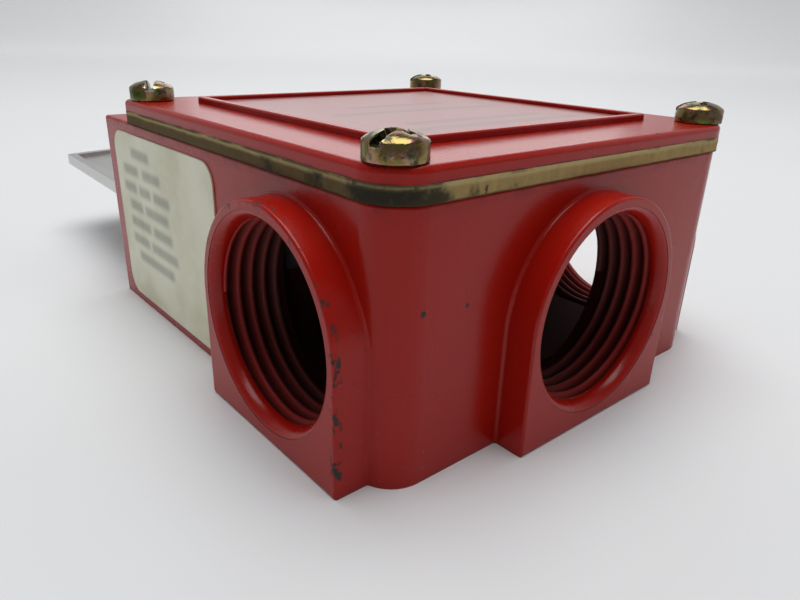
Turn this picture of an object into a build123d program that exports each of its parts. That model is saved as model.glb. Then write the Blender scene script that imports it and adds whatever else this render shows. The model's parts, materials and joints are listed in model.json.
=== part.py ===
from build123d import *

import math
import os

# Surface-mounted fire alarm station, lying on its back. Millimetres.
# Origin: centre of the back face that bears on the wall. +X across the box, +Y towards
# the pull lever, +Z out of the cover. The end at -Y is called the front end.

# ---------------------------------------------------------------- driving dimensions
body_width = 64.0
body_length = 77.2
wall = 3.0
floor_thickness = 3.0
front_corner_radius = 4.7
end_corner_radius = 0.6
lever_end_length = 11.2

# Threaded conduit hubs, for 3/4 inch pipe thread
hub_bore_radius = 13.3
hub_wall = 1.2
hub_protrusion = 4.15
hub_length = 11.0
hub_foot = 0.55
hub_to_gasket = 2.25
hub_to_front = 3.2
hub_rim_round = 0.35
hub_root_round = 0.45

# Cover, gasket and cover screws
cover_thickness = 1.7
cover_overhang = 0.3
cover_corner_radius = 5.0
cover_rear_corner_radius = 1.5
cover_edge_round = 0.7
cover_frame_width = 48.4
cover_frame_height = 0.9
cover_frame_rib = 1.3
cover_frame_round = 0.28
gasket_thickness = 1.9
gasket_overhang = 0.45
screw_inset_x = 3.2
screw_inset_y = 3.4
cover_screw_radius = 1.72
cover_screw_head_radius = 3.25
cover_screw_side_height = 1.9
cover_screw_crown_height = 1.0
cover_screw_crown_radius = 1.3
cover_screw_slot_width = 1.05
cover_screw_slot_depth = 1.35
cover_screw_cross_length = 3.6
cover_screw_depth = 6.0
screw_hole_extra = 1.5
corner_boss_radius = 4.0

# Cover nameplate and rating label
nameplate_thickness = 0.3
label_thickness = 0.2
label_hub_gap = 3.8
label_end_margin = 4.0
label_height = 28.6
label_base = 1.5
label_corner_radius = 3.2

# Holes in the floor that fix the box to a wall
mounting_hole_radius = 2.4
mounting_spacing = 30.0
mounting_from_front = 18.6

# Pull lever, in its guide slot
lever_angle = 11.0
lever_thickness = 1.4
lever_underside = 15.2
lever_neck_width = 35.0
lever_pad_width = 57.0
lever_tip_width = 54.4
lever_reach = 52.0
lever_bow = 4.0
lever_pad_gap = 2.0
lever_rim_height = 0.8
lever_rim_width = 1.8
trip_arm = 4.8
trip_tab_width = 8.0
trip_tab_height = 6.2
slot_side_clearance = 0.5
slot_under_clearance = 0.3
slot_over_clearance = 0.5

# Pivot of the lever
pivot_from_wall = 5.4
pivot_height = 10.5
pin_radius = 2.5
pin_past_block = 1.3
pin_chamfer = 0.3
bushing_radius = 3.5
bushing_flange_radius = 4.4
bushing_flange = 0.8
block_thickness = 5.0
block_from_wall = 5.1
block_half_width = 5.1
block_foot_length = 7.0
block_foot_height = 3.0
block_top = 16.0
pad_height = 3.0
pad_margin = 0.5
clip_thickness = 0.6
clip_radius = 4.2
clip_groove_depth = 0.5
arm_thickness = 2.0
arm_spacing = 28.0
arm_flange_length = 7.5
arm_flange_thickness = 1.6
arm_eye_radius = 4.4
arm_screw_radius = 1.25
arm_screw_head_radius = 2.3
arm_screw_head_height = 1.4
arm_screw_offsets = [(6.0, -0.6), (2.3, 2.3)]
spring_wire_radius = 0.4
spring_leg_radius = 0.35
spring_pin_gap = 0.25
spring_length = 7.0

# Snap-action switch
switch_length = 27.8
switch_depth = 15.9
switch_thickness = 10.3
switch_corner_radius = 0.8
switch_edge_chamfer = 0.35
switch_cover_thickness = 2.0
switch_centre_height = 19.5
switch_centre_x = -9.0
switch_plunger_offset = 5.0
switch_hole_spacing = 22.2
switch_hole_inset = 3.0
switch_screw_radius = 1.25
switch_screw_head_radius = 2.4
switch_screw_head_height = 1.8
switch_post_radius = 3.4
plunger_radius = 1.2
plunger_stand_out = 2.6
plunger_gap = 0.1
plunger_travel = 2.0
plunger_buried = 4.0
plunger_tip_round = 0.35
tab_width = 4.8
tab_thickness = 0.8
tab_length = 5.0
tab_spacing = 8.8

# Terminal block for the field wires
terminal_pitch = 5.2
terminal_count = 3
terminal_depth = 16.0
terminal_base_height = 5.0
terminal_floor = 1.0
terminal_barrier = 1.0
terminal_barrier_height = 3.2
terminal_hub_gap = 0.2
terminal_foot_gap = 0.5
terminal_row_spacing = 9.0
terminal_screw_radius = 1.3
terminal_screw_head_radius = 1.75
terminal_screw_head_height = 1.2
terminal_screw_tip_gap = 0.5
clamp_width = 3.6
clamp_length = 4.2
clamp_thickness = 0.5
fixing_screw_radius = 1.25
fixing_screw_head_radius = 1.9
fixing_screw_head_height = 1.1
post_radius = 2.8

# Small screws into the floor pads, earth screw and leads
pad_screw_radius = 1.5
pad_screw_head_radius = 2.3
pad_screw_head_height = 1.8
pad_screw_depth = 4.2
pan_slot_width_share = 0.3
pan_slot_depth_share = 0.5
pan_round_share = 0.45
earth_x = -25.8
earth_y = 3.0
earth_boss_radius = 3.1
earth_screw_radius = 1.75
earth_washer_radius = 2.9
earth_washer_thickness = 0.8
earth_hex = 5.0
earth_hex_height = 2.2
wire_radius = 0.8
wire_bend = 2.0
wire_first_run = 2.4
wire_layer = 1.7

# Clearances, how far a cut runs past the face it opens, and how near an edge has to be to be found
running_clearance = 0.05
thread_clearance = 0.06
part_gap = 0.3
overcut = 1.0
edge_tolerance = 0.01
root_search = 0.5

# ---------------------------------------------------------------- derived places
hub_outer_radius = hub_bore_radius + hub_wall
hub_centre_height = hub_foot + hub_outer_radius
body_height = hub_centre_height + hub_outer_radius + hub_to_gasket
front_y = -body_length / 2
end_y = body_length / 2
cover_length = body_length - lever_end_length
cover_end_y = front_y + cover_length
cover_mid_y = (front_y + cover_end_y) / 2
cavity_front_y = front_y + wall
cavity_end_y = cover_end_y - wall
cavity_half_width = body_width / 2 - wall
gasket_z = body_height
cover_z = gasket_z + gasket_thickness
cover_top_z = cover_z + cover_thickness
cover_screw_top_z = cover_top_z + cover_screw_side_height + cover_screw_crown_height
side_hub_y = front_y + hub_to_front + hub_outer_radius
label_start_y = side_hub_y + hub_outer_radius + label_hub_gap
label_end_y = end_y - label_end_margin
mounting_y = front_y + mounting_from_front
screw_places = [
    (side * (body_width / 2 - screw_inset_x), y)
    for side in (-1, 1)
    for y in (front_y + screw_inset_y, cover_end_y - screw_inset_y)
]
cover_screw_length = cover_thickness + gasket_thickness + cover_screw_depth

pivot_y = cavity_end_y - pivot_from_wall
pad_top = floor_thickness + pad_height
pad_front_y = pivot_y - block_half_width - block_foot_length
lever_top = lever_underside + lever_thickness
tab_face_y = pivot_y - trip_arm
lever_pad_y = end_y + lever_pad_gap
lever_corner_y = end_y + lever_reach - lever_bow
block_outer_x = cavity_half_width - block_from_wall
block_inner_x = block_outer_x - block_thickness
pin_half_length = block_outer_x + pin_past_block
spring_inner_radius = pin_radius + spring_pin_gap
switch_front_y = tab_face_y - plunger_gap - plunger_stand_out
switch_back_y = switch_front_y - switch_depth
switch_low_z = switch_centre_height - switch_thickness / 2
switch_top_z = switch_centre_height + switch_thickness / 2
switch_holes = [
    (switch_centre_x + side * switch_hole_spacing / 2, switch_back_y + switch_hole_inset)
    for side in (-1, 1)
]
plunger_x = switch_centre_x + switch_plunger_offset
terminal_width = terminal_count * terminal_pitch + terminal_barrier
terminal_x = body_width / 2 + hub_protrusion - hub_length - terminal_hub_gap - terminal_width
terminal_y = pad_front_y - terminal_foot_gap - terminal_depth
terminal_mid_x = terminal_x + terminal_width / 2
terminal_mid_y = terminal_y + terminal_depth / 2
terminal_deck = pad_top + terminal_base_height
block_fixings = [
    (terminal_mid_x + side * terminal_pitch / 2, terminal_mid_y) for side in (-1, 1)
]
foot_mid_y = pivot_y - block_half_width - block_foot_length / 2


def hub_planes():
    """One plane per conduit hub: at the hub's mouth, normal pointing out of the box."""
    mouth_x = body_width / 2 + hub_protrusion
    mouth_y = front_y - hub_protrusion
    return [
        Plane(origin=(-mouth_x, side_hub_y, hub_centre_height), x_dir=(0, -1, 0), z_dir=(-1, 0, 0)),
        Plane(origin=(mouth_x, side_hub_y, hub_centre_height), x_dir=(0, 1, 0), z_dir=(1, 0, 0)),
        Plane(origin=(0, mouth_y, hub_centre_height), x_dir=(1, 0, 0), z_dir=(0, -1, 0)),
    ]


def cover_outline(plane, overhang):
    """Sketch of the cover's outline, grown by an overhang, with its rear corners tighter."""
    with BuildSketch(plane) as outline:
        with Locations((0, cover_mid_y)):
            Rectangle(body_width + 2 * overhang, cover_length + 2 * overhang)
        front = outline.vertices().group_by(Axis.Y)[0]
        fillet(front, cover_corner_radius + overhang - cover_overhang)
        rear = outline.vertices().group_by(Axis.Y)[-1]
        fillet(rear, cover_rear_corner_radius + overhang - cover_overhang)
    return outline.sketch


def cavity_outline(plane):
    """Sketch of the inside of the walls, leaving the four corner screw bosses."""
    with BuildSketch(plane) as outline:
        with Locations((0, (cavity_front_y + cavity_end_y) / 2)):
            Rectangle(2 * cavity_half_width, cavity_end_y - cavity_front_y)
        with Locations(*screw_places):
            Circle(corner_boss_radius, mode=Mode.SUBTRACT)
    return outline.sketch


def slot_profile(plane):
    """Side view of the lever's guide slot, opening upwards towards the end face."""
    rise = math.sin(math.radians(lever_angle))
    run = math.cos(math.radians(lever_angle))
    top_arm = lever_top - pivot_height
    heights = []
    for y in (cavity_end_y, end_y):
        along = (y - pivot_y + top_arm * rise) / run
        heights.append(pivot_height + top_arm * run + along * rise + slot_over_clearance)
    low = lever_underside - slot_under_clearance
    slope = overcut * (heights[1] - heights[0]) / (end_y - cavity_end_y)
    with BuildSketch(plane) as profile:
        with BuildLine():
            Polyline(
                (cavity_end_y - overcut, low),
                (end_y + overcut, low),
                (end_y + overcut, heights[1] + slope),
                (cavity_end_y - overcut, heights[0] - slope),
                close=True,
            )
        make_face()
    return profile.sketch


def pan_screws(places, seat_z, head_radius, head_height, shank_radius, shank_length):
    """Slotted pan-head screws standing along Z with their heads on seat_z."""
    slot_length = 2 * head_radius + overcut
    with BuildPart() as screws:
        with BuildSketch(Plane.XY.offset(seat_z)):
            with Locations(*places):
                Circle(head_radius)
        extrude(amount=head_height)
        fillet(screws.edges().group_by(Axis.Z)[-1], head_height * pan_round_share)
        with BuildSketch(Plane.XY.offset(seat_z)):
            with Locations(*places):
                Circle(shank_radius)
        extrude(amount=-shank_length)
        with BuildSketch(Plane.XY.offset(seat_z + head_height)):
            with Locations(*places):
                Rectangle(slot_length, head_radius * pan_slot_width_share)
        extrude(amount=-head_height * pan_slot_depth_share, mode=Mode.SUBTRACT)
    return screws


def rod(start, end, radius):
    """Round rod between two points, made outside any builder."""
    axis = Vector(*end) - Vector(*start)
    return extrude(Plane(origin=start, z_dir=axis) * Circle(radius), amount=axis.length)


def save(node, name):
    """Labels a finished piece and writes it as one STEP file."""
    node.part.label = name
    export_step(node.part, f"parts/{name}.step")


os.makedirs("parts", exist_ok=True)

# ---------------------------------------------------------------- housing
cavity = cavity_outline(Plane.XY.offset(floor_thickness))
slot = slot_profile(Plane.YZ)
block_pads = [(side * (block_inner_x + block_thickness / 2), 0) for side in (-1, 1)]

with BuildPart() as housing:
    with BuildSketch(Plane.XY) as footprint:
        Rectangle(body_width, body_length)
        fillet(footprint.vertices().group_by(Axis.Y)[0], front_corner_radius)
        fillet(footprint.vertices().group_by(Axis.Y)[-1], end_corner_radius)
    extrude(amount=body_height)
    # conduit hubs: arched outside, square at the foot, standing on the back plane
    for mouth in hub_planes():
        with BuildSketch(mouth):
            Circle(hub_outer_radius)
            with Locations((0, -hub_centre_height / 2)):
                Rectangle(2 * hub_outer_radius, hub_centre_height)
        extrude(amount=-hub_protrusion - wall)
    for mouth in hub_planes():
        wall_plane = mouth.offset(-hub_protrusion)
        roots = housing.edges().filter_by(
            lambda edge, wall_plane=wall_plane: abs(wall_plane.to_local_coords(edge.center()).Z) < root_search
            and abs(wall_plane.to_local_coords(edge.center()).X) < hub_outer_radius + edge_tolerance
            and edge.center().Z > edge_tolerance
        )
        fillet(roots, hub_root_round)
    for mouth in hub_planes():
        rim = housing.edges().filter_by(
            lambda edge, mouth=mouth: abs(mouth.to_local_coords(edge.center()).Z) < edge_tolerance
        )
        fillet(rim, hub_rim_round)
    extrude(cavity, amount=body_height, mode=Mode.SUBTRACT)
    # inner ends of the hubs
    for mouth in hub_planes():
        with BuildSketch(mouth.offset(-hub_protrusion - wall / 2)):
            Circle(hub_outer_radius)
            with Locations((0, -hub_centre_height / 2)):
                Rectangle(2 * hub_outer_radius, hub_centre_height)
        extrude(amount=hub_protrusion + wall / 2 - hub_length)
    # pads and posts on the floor
    with BuildSketch(Plane.XY.offset(floor_thickness)):
        with Locations((0, (pad_front_y + cavity_end_y) / 2)):
            with Locations(*block_pads):
                Rectangle(block_thickness + 2 * pad_margin, cavity_end_y - pad_front_y)
        with Locations(*block_fixings):
            Circle(post_radius)
        with Locations((earth_x, earth_y)):
            Circle(earth_boss_radius)
    extrude(amount=pad_height)
    with BuildSketch(Plane.XY.offset(floor_thickness)):
        with Locations(*switch_holes):
            Circle(switch_post_radius)
    extrude(amount=switch_low_z - floor_thickness)
    # holes
    for mouth in hub_planes():
        with BuildSketch(mouth):
            Circle(hub_bore_radius)
        extrude(amount=-hub_length, mode=Mode.SUBTRACT)
    with BuildSketch(Plane.XY.offset(body_height)):
        with Locations(*screw_places):
            Circle(cover_screw_radius + thread_clearance)
    extrude(amount=-cover_screw_depth - screw_hole_extra, mode=Mode.SUBTRACT)
    with BuildSketch(Plane.XY.offset(pad_top)):
        with Locations(*[(x, foot_mid_y) for x, _ in block_pads]):
            Circle(pad_screw_radius + thread_clearance)
        with Locations(*block_fixings):
            Circle(fixing_screw_radius + thread_clearance)
        with Locations((earth_x, earth_y)):
            Circle(earth_screw_radius + thread_clearance)
    extrude(amount=-pad_screw_depth - part_gap, mode=Mode.SUBTRACT)
    with BuildSketch(Plane.XY.offset(switch_low_z)):
        with Locations(*switch_holes):
            Circle(switch_screw_radius + thread_clearance)
    extrude(amount=-pad_screw_depth - part_gap, mode=Mode.SUBTRACT)
    with BuildSketch(Plane.XY):
        with Locations((0, mounting_y)):
            with GridLocations(mounting_spacing, 1, 2, 1):
                Circle(mounting_hole_radius)
    extrude(amount=floor_thickness, mode=Mode.SUBTRACT)
    extrude(slot, amount=lever_neck_width / 2 + slot_side_clearance, both=True, mode=Mode.SUBTRACT)

# ---------------------------------------------------------------- gasket and cover
gasket_outline = cover_outline(Plane.XY.offset(gasket_z), gasket_overhang)
gasket_window = cavity_outline(Plane.XY.offset(gasket_z))
with BuildPart() as gasket:
    extrude(gasket_outline, amount=gasket_thickness)
    extrude(gasket_window, amount=gasket_thickness, mode=Mode.SUBTRACT)
    with BuildSketch(Plane.XY.offset(gasket_z)):
        with Locations(*screw_places):
            Circle(cover_screw_radius + thread_clearance)
    extrude(amount=gasket_thickness, mode=Mode.SUBTRACT)

cover_plate = cover_outline(Plane.XY.offset(cover_z), cover_overhang)
with BuildPart() as cover:
    extrude(cover_plate, amount=cover_thickness)
    fillet(cover.edges().group_by(Axis.Z)[-1], cover_edge_round)
    with BuildSketch(Plane.XY.offset(cover_top_z)):
        with Locations((0, cover_mid_y)):
            RectangleRounded(cover_frame_width, cover_frame_width, cover_frame_rib)
            inside = cover_frame_width - 2 * cover_frame_rib
            Rectangle(inside, inside, mode=Mode.SUBTRACT)
    extrude(amount=cover_frame_height)
    fillet(cover.edges().group_by(Axis.Z)[-1], cover_frame_round)
    with BuildSketch(Plane.XY.offset(cover_z)):
        with Locations(*screw_places):
            Circle(cover_screw_radius + thread_clearance)
    extrude(amount=cover_thickness, mode=Mode.SUBTRACT)

with BuildPart() as cover_nameplate:
    with BuildSketch(Plane.XY.offset(cover_top_z)):
        with Locations((0, cover_mid_y)):
            side = cover_frame_width - 2 * cover_frame_rib - part_gap
            Rectangle(side, side)
    extrude(amount=nameplate_thickness)

with BuildPart() as cover_screws:
    with BuildSketch(Plane.XY.offset(cover_top_z)):
        with Locations(*screw_places):
            Circle(cover_screw_head_radius)
    extrude(amount=cover_screw_side_height)
    with Locations(*[(x, y, cover_top_z + cover_screw_side_height) for x, y in screw_places]):
        Cone(
            cover_screw_head_radius,
            cover_screw_crown_radius,
            cover_screw_crown_height,
            align=(Align.CENTER, Align.CENTER, Align.MIN),
        )
    with BuildSketch(Plane.XY.offset(cover_top_z)):
        with Locations(*screw_places):
            Circle(cover_screw_radius)
    extrude(amount=-cover_screw_length)
    with BuildSketch(Plane.XY.offset(cover_screw_top_z)):
        with Locations(*screw_places):
            Rectangle(2 * cover_screw_head_radius + overcut, cover_screw_slot_width)
            Rectangle(cover_screw_slot_width, cover_screw_cross_length)
    extrude(amount=-cover_screw_slot_depth, mode=Mode.SUBTRACT)

label_mid_y = (label_start_y + label_end_y) / 2
label_mid_z = label_base + label_height / 2
label_plane = Plane(origin=(-body_width / 2, label_mid_y, label_mid_z), x_dir=(0, -1, 0), z_dir=(-1, 0, 0))
with BuildPart() as rating_label:
    with BuildSketch(label_plane):
        RectangleRounded(label_end_y - label_start_y, label_height, label_corner_radius)
    extrude(amount=label_thickness)

# ---------------------------------------------------------------- pull lever
with BuildPart() as pull_lever:
    with BuildSketch(Plane.XY.offset(lever_underside)) as blank:
        with Locations((0, (tab_face_y + lever_pad_y + overcut) / 2)):
            Rectangle(lever_neck_width, lever_pad_y + overcut - tab_face_y)
        with BuildLine():
            Polyline(
                (-lever_tip_width / 2, lever_corner_y),
                (-lever_pad_width / 2, lever_pad_y),
                (lever_pad_width / 2, lever_pad_y),
                (lever_tip_width / 2, lever_corner_y),
            )
            ThreePointArc(
                (lever_tip_width / 2, lever_corner_y),
                (0, lever_corner_y + lever_bow),
                (-lever_tip_width / 2, lever_corner_y),
            )
        make_face()
    extrude(amount=lever_thickness)
    # raised rim pressed round the outer pad
    with BuildSketch(Plane.XY.offset(lever_top)) as rim:
        with BuildLine():
            Polyline(
                (-lever_tip_width / 2, lever_corner_y),
                (-lever_pad_width / 2, lever_pad_y + lever_rim_width / 2),
                (lever_pad_width / 2, lever_pad_y + lever_rim_width / 2),
                (lever_tip_width / 2, lever_corner_y),
            )
            ThreePointArc(
                (lever_tip_width / 2, lever_corner_y),
                (0, lever_corner_y + lever_bow),
                (-lever_tip_width / 2, lever_corner_y),
            )
        make_face()
        offset(amount=-lever_rim_width, kind=Kind.INTERSECTION, mode=Mode.SUBTRACT)
    extrude(amount=lever_rim_height)
    with BuildSketch(Plane.XY.offset(lever_underside)):
        with Locations((plunger_x, tab_face_y + lever_thickness / 2)):
            Rectangle(trip_tab_width, lever_thickness)
    extrude(amount=trip_tab_height)
    arm_screws_at = [
        (side * (arm_spacing / 2 - arm_thickness / 2 - inset), pivot_y + shift)
        for side in (-1, 1)
        for inset, shift in arm_screw_offsets
    ]
    with BuildSketch(Plane.XY.offset(lever_underside)):
        with Locations(*arm_screws_at):
            Circle(arm_screw_radius + thread_clearance)
    extrude(amount=lever_thickness, mode=Mode.SUBTRACT)

with BuildPart() as lever_arms:
    for side in (-1, 1):
        inner_x = side * (arm_spacing - arm_thickness) / 2
        with BuildSketch(Plane.YZ.offset(inner_x)):
            with Locations((pivot_y, pivot_height)):
                Circle(arm_eye_radius)
            with Locations((pivot_y, (pivot_height + lever_underside) / 2)):
                Rectangle(2 * arm_eye_radius, lever_underside - pivot_height)
        extrude(amount=side * arm_thickness)
        flange_x = inner_x - side * arm_flange_length / 2
        with BuildSketch(Plane.XY.offset(lever_underside)):
            with Locations((flange_x, pivot_y)):
                Rectangle(arm_flange_length, 2 * arm_eye_radius)
        extrude(amount=-arm_flange_thickness)
    with BuildSketch(Plane.YZ) as eye:
        with Locations((pivot_y, pivot_height)):
            Circle(pin_radius + thread_clearance)
    extrude(amount=arm_spacing, both=True, mode=Mode.SUBTRACT)
    with BuildSketch(Plane.XY.offset(lever_underside)):
        with Locations(*arm_screws_at):
            Circle(arm_screw_radius + thread_clearance)
    extrude(amount=-arm_flange_thickness, mode=Mode.SUBTRACT)

lever_arm_screws = pan_screws(
    arm_screws_at,
    lever_top,
    arm_screw_head_radius,
    arm_screw_head_height,
    arm_screw_radius,
    lever_thickness + arm_flange_thickness,
)

# ---------------------------------------------------------------- pivot
clip_x = block_outer_x + running_clearance
with BuildPart() as pivot_pin:
    with BuildSketch(Plane.YZ):
        with Locations((pivot_y, pivot_height)):
            Circle(pin_radius)
    extrude(amount=pin_half_length, both=True)
    chamfer(pivot_pin.edges().filter_by(GeomType.CIRCLE), pin_chamfer)
    for side in (-1, 1):
        with BuildSketch(Plane.YZ.offset(side * clip_x)):
            with Locations((pivot_y, pivot_height)):
                Circle(pin_radius + overcut)
                Circle(pin_radius - clip_groove_depth, mode=Mode.SUBTRACT)
        extrude(amount=side * (clip_thickness + running_clearance), mode=Mode.SUBTRACT)

with BuildPart() as pin_clips:
    for side in (-1, 1):
        with BuildSketch(Plane.YZ.offset(side * clip_x)):
            with Locations((pivot_y, pivot_height)):
                Circle(clip_radius)
                Circle(pin_radius - clip_groove_depth, mode=Mode.SUBTRACT)
            with Locations((pivot_y, pivot_height + clip_radius)):
                Rectangle(2 * (pin_radius - clip_groove_depth), 2 * clip_radius, mode=Mode.SUBTRACT)
        extrude(amount=side * clip_thickness)

with BuildPart() as pin_bushings:
    for side in (-1, 1):
        with BuildSketch(Plane.YZ.offset(side * block_inner_x)):
            with Locations((pivot_y, pivot_height)):
                Circle(bushing_radius)
        extrude(amount=side * block_thickness)
        with BuildSketch(Plane.YZ.offset(side * block_inner_x)):
            with Locations((pivot_y, pivot_height)):
                Circle(bushing_flange_radius)
        extrude(amount=-side * bushing_flange)
    with BuildSketch(Plane.YZ):
        with Locations((pivot_y, pivot_height)):
            Circle(pin_radius + running_clearance)
    extrude(amount=block_outer_x + overcut, both=True, mode=Mode.SUBTRACT)

spacer_start = (arm_spacing + arm_thickness) / 2
spacer_end = block_inner_x - bushing_flange - running_clearance
with BuildPart() as pin_spacers:
    for side in (-1, 1):
        with BuildSketch(Plane.YZ.offset(side * spacer_start)):
            with Locations((pivot_y, pivot_height)):
                Circle(bushing_radius)
                Circle(pin_radius + thread_clearance, mode=Mode.SUBTRACT)
        extrude(amount=side * (spacer_end - spacer_start))

with BuildPart() as pivot_blocks:
    for side in (-1, 1):
        with BuildSketch(Plane.YZ.offset(side * block_inner_x)):
            with Locations((pivot_y, (pad_top + block_top) / 2)):
                Rectangle(2 * block_half_width, block_top - pad_top)
            with Locations((foot_mid_y, pad_top + block_foot_height / 2)):
                Rectangle(block_foot_length, block_foot_height)
            with Locations((pivot_y, pivot_height)):
                Circle(bushing_radius, mode=Mode.SUBTRACT)
        extrude(amount=side * block_thickness)
    with BuildSketch(Plane.XY.offset(pad_top)):
        with Locations(*[(x, foot_mid_y) for x, _ in block_pads]):
            Circle(pad_screw_radius + thread_clearance)
    extrude(amount=block_foot_height, mode=Mode.SUBTRACT)

pivot_block_screws = pan_screws(
    [(x, foot_mid_y) for x, _ in block_pads],
    pad_top + block_foot_height,
    pad_screw_head_radius,
    pad_screw_head_height,
    pad_screw_radius,
    block_foot_height + pad_screw_depth,
)

coil_radius = spring_inner_radius + spring_wire_radius
leg_x = spring_length / 2 - spring_wire_radius
lever_leg = rod(
    (leg_x, pivot_y, pivot_height + coil_radius),
    (leg_x, tab_face_y + lever_thickness, lever_underside - spring_leg_radius - part_gap),
    spring_leg_radius,
)
floor_leg = rod(
    (-leg_x, pivot_y, pivot_height - coil_radius),
    (-leg_x, tab_face_y, floor_thickness + spring_leg_radius + part_gap),
    spring_leg_radius,
)
with BuildPart() as lever_spring:
    with BuildSketch(Plane.YZ):
        with Locations((pivot_y, pivot_height)):
            Circle(coil_radius + spring_wire_radius)
    extrude(amount=spring_length / 2, both=True)
    add(lever_leg)
    add(floor_leg)
    with BuildSketch(Plane.YZ):
        with Locations((pivot_y, pivot_height)):
            Circle(spring_inner_radius)
    extrude(amount=spring_length, both=True, mode=Mode.SUBTRACT)

# ---------------------------------------------------------------- snap-action switch
switch_mid_y = (switch_front_y + switch_back_y) / 2
with BuildPart() as switch_case:
    with BuildSketch(Plane.XY.offset(switch_low_z)):
        with Locations((switch_centre_x, switch_mid_y)):
            RectangleRounded(switch_length, switch_depth, switch_corner_radius)
        with Locations(*switch_holes):
            Circle(switch_screw_radius + thread_clearance, mode=Mode.SUBTRACT)
    extrude(amount=switch_thickness - switch_cover_thickness)
    with BuildSketch(Plane.XZ.offset(-switch_front_y)):
        with Locations((plunger_x, switch_centre_height)):
            Circle(plunger_radius + running_clearance)
    extrude(amount=plunger_buried + plunger_travel + part_gap, mode=Mode.SUBTRACT)

with BuildPart() as switch_cover:
    with BuildSketch(Plane.XY.offset(switch_top_z - switch_cover_thickness)):
        with Locations((switch_centre_x, switch_mid_y)):
            RectangleRounded(switch_length, switch_depth, switch_corner_radius)
        with Locations(*switch_holes):
            Circle(switch_screw_radius + thread_clearance, mode=Mode.SUBTRACT)
    extrude(amount=switch_cover_thickness)
    chamfer(switch_cover.faces().sort_by(Axis.Z)[-1].outer_wire().edges(), switch_edge_chamfer)

with BuildPart() as switch_plunger:
    with BuildSketch(Plane.XZ.offset(-switch_front_y - plunger_stand_out)):
        with Locations((plunger_x, switch_centre_height)):
            Circle(plunger_radius)
    extrude(amount=plunger_stand_out + plunger_buried)
    fillet(switch_plunger.edges().group_by(Axis.Y)[-1], plunger_tip_round)

with BuildPart() as switch_terminals:
    with BuildSketch(Plane.XZ.offset(-switch_back_y)):
        with Locations((switch_centre_x, switch_centre_height)):
            with GridLocations(tab_spacing, 1, 3, 1):
                Rectangle(tab_thickness, tab_width)
    extrude(amount=tab_length)

switch_screws = pan_screws(
    switch_holes,
    switch_top_z,
    switch_screw_head_radius,
    switch_screw_head_height,
    switch_screw_radius,
    switch_thickness + pad_screw_depth,
)

# ---------------------------------------------------------------- terminal block
pole_x = [terminal_x + terminal_barrier / 2 + (pole + 0.5) * terminal_pitch for pole in range(terminal_count)]
row_y = [terminal_mid_y + side * terminal_row_spacing / 2 for side in (-1, 1)]
terminal_places = [(x, y) for x in pole_x for y in row_y]
clamp_top = terminal_deck + clamp_thickness
with BuildPart() as terminal_block:
    with BuildSketch(Plane.XY.offset(pad_top)):
        with Locations((terminal_mid_x, terminal_mid_y)):
            Rectangle(terminal_width, terminal_depth)
    extrude(amount=terminal_base_height)
    with BuildSketch(Plane.XY.offset(terminal_deck)):
        with Locations((terminal_mid_x, terminal_mid_y)):
            with GridLocations(terminal_pitch, 1, terminal_count + 1, 1):
                Rectangle(terminal_barrier, terminal_depth)
    extrude(amount=terminal_barrier_height)
    with BuildSketch(Plane.XY.offset(terminal_deck)):
        with Locations(*block_fixings):
            Circle(fixing_screw_head_radius + running_clearance)
    extrude(amount=terminal_barrier_height, mode=Mode.SUBTRACT)
    with BuildSketch(Plane.XY.offset(pad_top)):
        with Locations(*block_fixings):
            Circle(fixing_screw_radius + thread_clearance)
    extrude(amount=terminal_base_height, mode=Mode.SUBTRACT)
    with BuildSketch(Plane.XY.offset(terminal_deck)):
        with Locations(*terminal_places):
            Circle(terminal_screw_radius + thread_clearance)
    extrude(amount=terminal_floor - terminal_base_height, mode=Mode.SUBTRACT)

with BuildPart() as terminal_clamps:
    with BuildSketch(Plane.XY.offset(terminal_deck)):
        with Locations(*terminal_places):
            Rectangle(clamp_width, clamp_length)
            Circle(terminal_screw_radius + thread_clearance, mode=Mode.SUBTRACT)
    extrude(amount=clamp_thickness)

terminal_screws = pan_screws(
    terminal_places,
    clamp_top,
    terminal_screw_head_radius,
    terminal_screw_head_height,
    terminal_screw_radius,
    clamp_thickness + terminal_base_height - terminal_floor - terminal_screw_tip_gap,
)
terminal_block_screws = pan_screws(
    block_fixings,
    terminal_deck,
    fixing_screw_head_radius,
    fixing_screw_head_height,
    fixing_screw_radius,
    terminal_base_height + pad_screw_depth,
)

# ---------------------------------------------------------------- earth screw and leads
with BuildPart() as earth_screw:
    with Locations((earth_x, earth_y, pad_top)):
        Cylinder(earth_screw_radius, pad_screw_depth, align=(Align.CENTER, Align.CENTER, Align.MAX))
        Cylinder(
            earth_washer_radius, earth_washer_thickness, align=(Align.CENTER, Align.CENTER, Align.MIN)
        )
    with BuildSketch(Plane.XY.offset(pad_top + earth_washer_thickness)):
        with Locations((earth_x, earth_y)):
            RegularPolygon(earth_hex / 2, 6, major_radius=False)
    extrude(amount=earth_hex_height)

lead_start_y = switch_back_y - tab_length
lead_end_y = row_y[0] - clamp_length / 2
lead_end_z = terminal_deck + wire_radius
with BuildPart() as lead_wires:
    for number, end_x in enumerate(pole_x):
        start_x = switch_centre_x + (number - 1) * tab_spacing
        drop_y = lead_start_y - wire_first_run - number * wire_layer
        with BuildLine() as route:
            FilletPolyline(
                (start_x, lead_start_y, switch_centre_height),
                (start_x, drop_y, switch_centre_height),
                (end_x, drop_y, lead_end_z),
                (end_x, lead_end_y, lead_end_z),
                radius=wire_bend,
            )
        with BuildSketch(Plane(origin=route.line @ 0, z_dir=route.line % 0)):
            Circle(wire_radius)
        sweep(path=route.line)

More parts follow.
